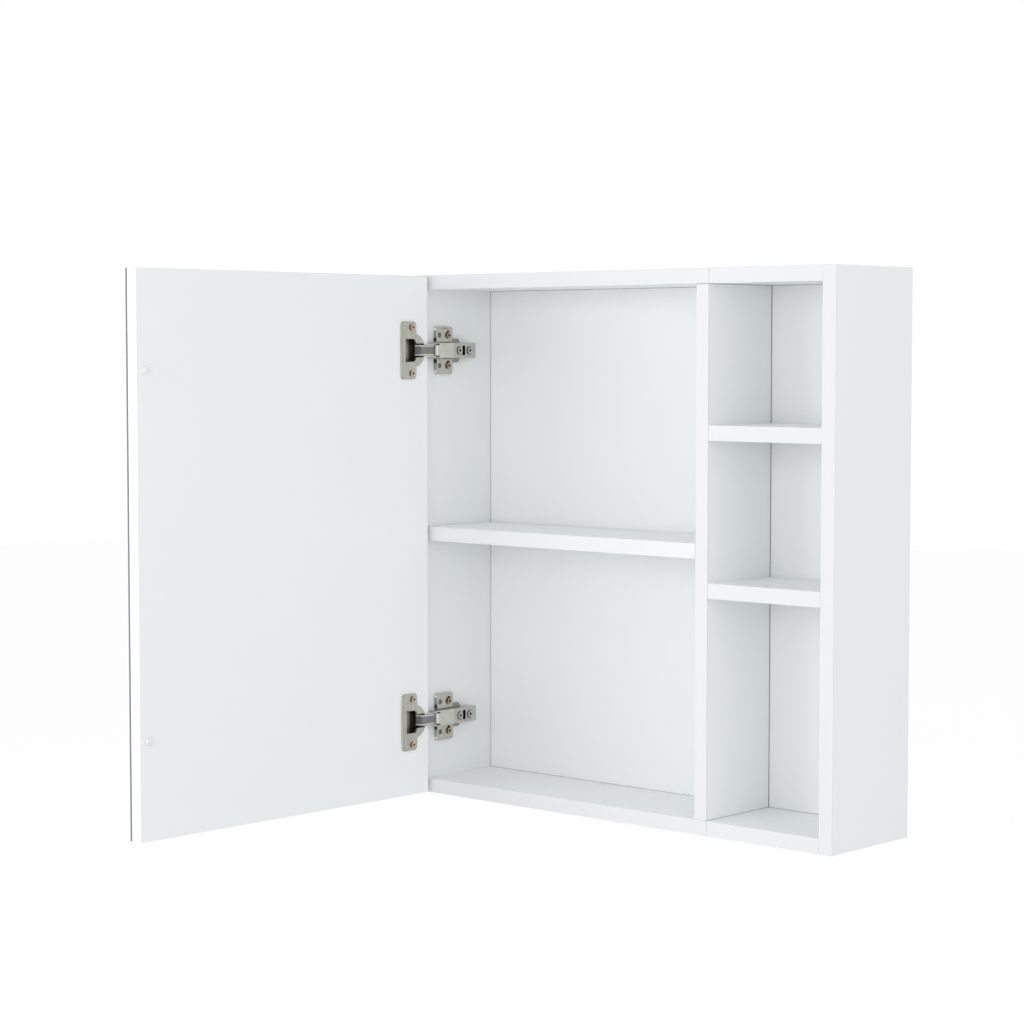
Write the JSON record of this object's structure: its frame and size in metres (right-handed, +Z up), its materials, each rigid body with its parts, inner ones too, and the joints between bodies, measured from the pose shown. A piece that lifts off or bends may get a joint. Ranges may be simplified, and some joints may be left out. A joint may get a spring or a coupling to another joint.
{
  "type": "mirror cabinet",
  "caption": "Wall-hung white cabinet with a hinged mirrored door over a shelved bay and a narrow open shelf bay beside it.",
  "frame": {"origin": "on the wall plane, midway between the two hanging holes", "axes": "+X to the viewer's right, +Y into the wall, +Z up"},
  "size_m": [0.54, 0.5224, 0.55],
  "materials": {
    "white_board": "white melamine-faced board, satin",
    "white_back": "white-faced fibreboard, satin",
    "nickel_steel": "nickel-plated pressed steel",
    "screw_steel": "yellow-zinc plated",
    "zinc_steel": "zinc plated",
    "beech": "raw fluted beech",
    "mirror": "silvered float glass with a ground edge",
    "foam_tape": "double-sided foam tape",
    "clear_bumper": "clear soft bumper"
  },
  "bodies": {
    "carcass": {"left_side_panel": "white_board", "right_side_panel": "white_board", "top_panel": "white_board", "bottom_panel": "white_board", "divider_panel": "white_board", "left_shelf": "white_board", "right_upper_shelf": "white_board", "right_lower_shelf": "white_board", "back_panel": "white_back", "shelf_support_pins": "nickel_steel", "corner_cams": "zinc_steel", "corner_bolts": "zinc_steel", "corner_dowels": "beech", "shelf_dowels": "beech", "divider_screws": "zinc_steel", "left_hanging_bracket": "zinc_steel", "right_hanging_bracket": "zinc_steel", "hanging_screws": "screw_steel", "upper_mounting_plate": "nickel_steel", "upper_hinge_arm": "nickel_steel", "upper_arm_pins": "nickel_steel", "upper_arm_screws": "screw_steel", "upper_plate_screws": "screw_steel", "upper_closing_spring": "nickel_steel", "lower_mounting_plate": "nickel_steel", "lower_hinge_arm": "nickel_steel", "lower_arm_pins": "nickel_steel", "lower_arm_screws": "screw_steel", "lower_plate_screws": "screw_steel", "lower_closing_spring": "nickel_steel"},
    "door": {"door_board": "white_board", "mirror_glass": "mirror", "mirror_tape": "foam_tape", "door_bumpers": "clear_bumper", "upper_hinge_cup": "nickel_steel", "upper_cup_pins": "nickel_steel", "upper_cup_screws": "screw_steel", "lower_hinge_cup": "nickel_steel", "lower_cup_pins": "nickel_steel", "lower_cup_screws": "screw_steel"},
    "outer_levers": {"upper_outer_lever": "nickel_steel", "lower_outer_lever": "nickel_steel"},
    "inner_levers": {"upper_inner_levers": "nickel_steel", "lower_inner_levers": "nickel_steel"}
  },
  "joints": [
    {"name": "door_swing", "type": "hinge", "parent": "carcass", "child": "door", "pos_m": [-0.2586, -0.1422, -0.23], "axis": [0, 0, -1], "range_deg": [-90.67, 1.33]},
    {"name": "outer_lever_turn", "type": "hinge", "parent": "door", "child": "outer_levers", "pos_m": [-0.25358, -0.14086, -0.23], "axis": [0, 0, -1], "range_deg": [-1.6, 106.2]},
    {"name": "inner_lever_turn", "type": "hinge", "parent": "door", "child": "inner_levers", "pos_m": [-0.25502, -0.14382, -0.23], "axis": [0, 0, -1], "range_deg": [-1.6, 101.2]}
  ],
  "couplings": [
    {"joint": "outer_lever_turn", "follows": "door_swing", "ratio": -1.17},
    {"joint": "inner_lever_turn", "follows": "door_swing", "ratio": -1.115}
  ]
}
